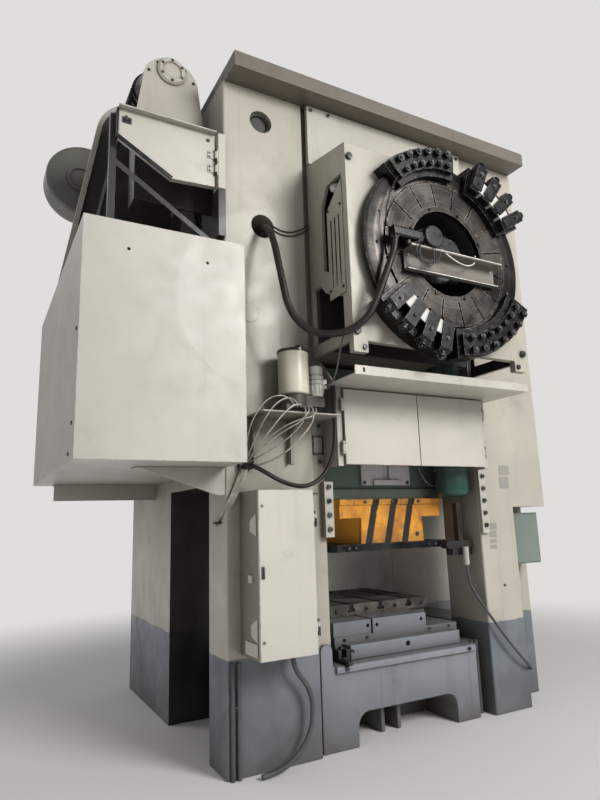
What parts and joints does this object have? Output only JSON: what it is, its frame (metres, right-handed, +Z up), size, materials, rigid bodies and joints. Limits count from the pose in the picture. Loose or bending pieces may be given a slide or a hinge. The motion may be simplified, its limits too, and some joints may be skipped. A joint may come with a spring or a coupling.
{
  "type": "hot forging press",
  "caption": "Eccentric hot forging press with a tall two-column stand, ram and die table, front disc brake, side flywheel with belt drive, and lubrication unit.",
  "frame": {"origin": "centre of the stand's base on the floor", "axes": "+Z up, the front with the brake faces -Y, X runs across the front"},
  "size_m": [4.447, 4.205, 6.0199],
  "materials": {
    "beige_paint": "satin enamel, worn",
    "panel_paint": "satin enamel",
    "cap_paint": "satin enamel, dusty",
    "brake_steel": "dark oiled steel",
    "black_iron": "black, oily",
    "green_paint": "grey-green enamel, oily",
    "orange_paint": "worn orange paint over rust",
    "dark_steel": "dull, scaled",
    "table_steel": "scaled steel with oil",
    "bed_paint": "blue-grey enamel, dirty",
    "shaft_steel": "turned steel",
    "bronze": "plain bearing bronze",
    "gear_steel": "hobbed steel, greased",
    "guard_paint": "satin enamel",
    "motor_paint": "grey enamel",
    "belt_rubber": "black, dull",
    "hose_rubber": "black, dull",
    "white_plate": "white paint",
    "reservoir_plastic": "cream, slightly glossy",
    "pump_metal": "die-cast, oily",
    "box_green": "grey-green enamel",
    "bolt_steel": "blackened",
    "grey_cable": "grey sheath"
  },
  "bodies": {
    "stand": {"left_upright": "beige_paint", "right_upright": "beige_paint", "bed": "bed_paint", "crown": "beige_paint", "crown_cap": "cap_paint", "tie_rods": "shaft_steel", "name_panel": "panel_paint", "hex_bolts": "bolt_steel", "shaft_bushes": "bronze", "side_brackets": "beige_paint", "drive_belts": "belt_rubber", "main_motor": "motor_paint", "motor_blower": "motor_paint", "flywheel_box": "guard_paint", "box_panel": "guard_paint", "belt_guard_front": "guard_paint", "belt_guard_rear": "guard_paint", "flap_frame": "dark_steel", "gear_guard": "guard_paint", "ram_gibs": "bronze", "balance_cylinder": "green_paint", "sensor_bracket": "black_iron", "brake_housing": "beige_paint", "brake_calipers": "black_iron", "shaft_bracket": "panel_paint", "rotary_union": "black_iron", "door_shelf": "panel_paint", "guide_plates": "beige_paint", "cabinet_body": "guard_paint", "control_box": "box_green", "lube_platform": "guard_paint", "lube_reservoir": "reservoir_plastic", "lube_pump": "pump_metal", "conduits": "grey_cable", "main_hose": "hose_rubber", "drain_hose": "hose_rubber", "cabinet_cable": "grey_cable", "window_cable": "grey_cable", "pump_cable": "grey_cable"},
    "crank": {"eccentric_shaft": "shaft_steel", "brake_rotor": "brake_steel"},
    "rod": {"connecting_rod": "green_paint", "wrist_pin": "shaft_steel"},
    "gear": {"bull_gear": "gear_steel"},
    "countershaft": {"pinion_shaft": "gear_steel", "flywheel": "motor_paint"},
    "motor_rotor": {"motor_pulley": "shaft_steel"},
    "ram_unit": {"ram": "green_paint", "ram_cover": "white_plate", "die_holder": "orange_paint", "upper_die_plate": "dark_steel"},
    "knockout": {"upper_ejector": "shaft_steel"},
    "wedge_body": {"wedge": "bed_paint"},
    "table_body": {"table": "table_steel", "bolster_plate": "table_steel"},
    "lifter": {"lower_ejector": "shaft_steel"},
    "door_l": {"left_door": "panel_paint"},
    "door_r": {"right_door": "panel_paint"},
    "flap_body": {"flap": "panel_paint"},
    "cab_door": {"cabinet_door": "panel_paint"}
  },
  "joints": [
    {"name": "crank_spin", "type": "hinge", "parent": "stand", "child": "crank", "pos_m": [0, 0, 3.76], "axis": [0, 1, 0], "continuous": true},
    {"name": "rod_swivel", "type": "hinge", "parent": "crank", "child": "rod", "pos_m": [0, 0, 3.9], "axis": [0, 1, 0], "continuous": true},
    {"name": "gear_spin", "type": "hinge", "parent": "stand", "child": "gear", "pos_m": [0, 0, 3.76], "axis": [0, 1, 0], "continuous": true},
    {"name": "countershaft_spin", "type": "hinge", "parent": "stand", "child": "countershaft", "pos_m": [-1.95, 0, 2.8688], "axis": [0, 1, 0], "continuous": true},
    {"name": "motor_spin", "type": "hinge", "parent": "stand", "child": "motor_rotor", "pos_m": [-2.01, 0, 5.445], "axis": [0, 1, 0], "continuous": true},
    {"name": "ram_slide", "type": "slide", "parent": "stand", "child": "ram_unit", "axis": [0, 0, 1], "range_m": [-0.28, 0]},
    {"name": "knockout_slide", "type": "slide", "parent": "ram_unit", "child": "knockout", "axis": [0, 0, 1], "range_m": [-0.04, 0]},
    {"name": "table_lift", "type": "slide", "parent": "stand", "child": "table_body", "axis": [0, 0, 1], "range_m": [0, 0.003]},
    {"name": "wedge_slide", "type": "slide", "parent": "stand", "child": "wedge_body", "axis": [0, 1, 0], "range_m": [0, 0.06]},
    {"name": "lifter_slide", "type": "slide", "parent": "stand", "child": "lifter", "axis": [0, 0, 1], "range_m": [0, 0.06]},
    {"name": "left_door_hinge", "type": "hinge", "parent": "stand", "child": "door_l", "pos_m": [-0.752, -1.586, 2.39], "axis": [0, 0, -1], "range_deg": [0, 110]},
    {"name": "right_door_hinge", "type": "hinge", "parent": "stand", "child": "door_r", "pos_m": [0.752, -1.586, 2.39], "axis": [0, 0, 1], "range_deg": [0, 110]},
    {"name": "flap_hinge", "type": "hinge", "parent": "stand", "child": "flap_body", "pos_m": [-1.737, -1.446, 4.5], "axis": [0, 0, 1], "range_deg": [0, 80]},
    {"name": "cabinet_hinge", "type": "hinge", "parent": "stand", "child": "cab_door", "pos_m": [-1.108, -1.726, 1.3], "axis": [0, 0, 1], "range_deg": [0, 110]}
  ],
  "couplings": [
    {"joint": "rod_swivel", "follows": "crank_spin", "ratio": -1},
    {"joint": "countershaft_spin", "follows": "gear_spin", "ratio": -2.9412},
    {"joint": "motor_spin", "follows": "gear_spin", "ratio": -9.5908},
    {"joint": "wedge_slide", "follows": "table_lift", "ratio": 20}
  ]
}
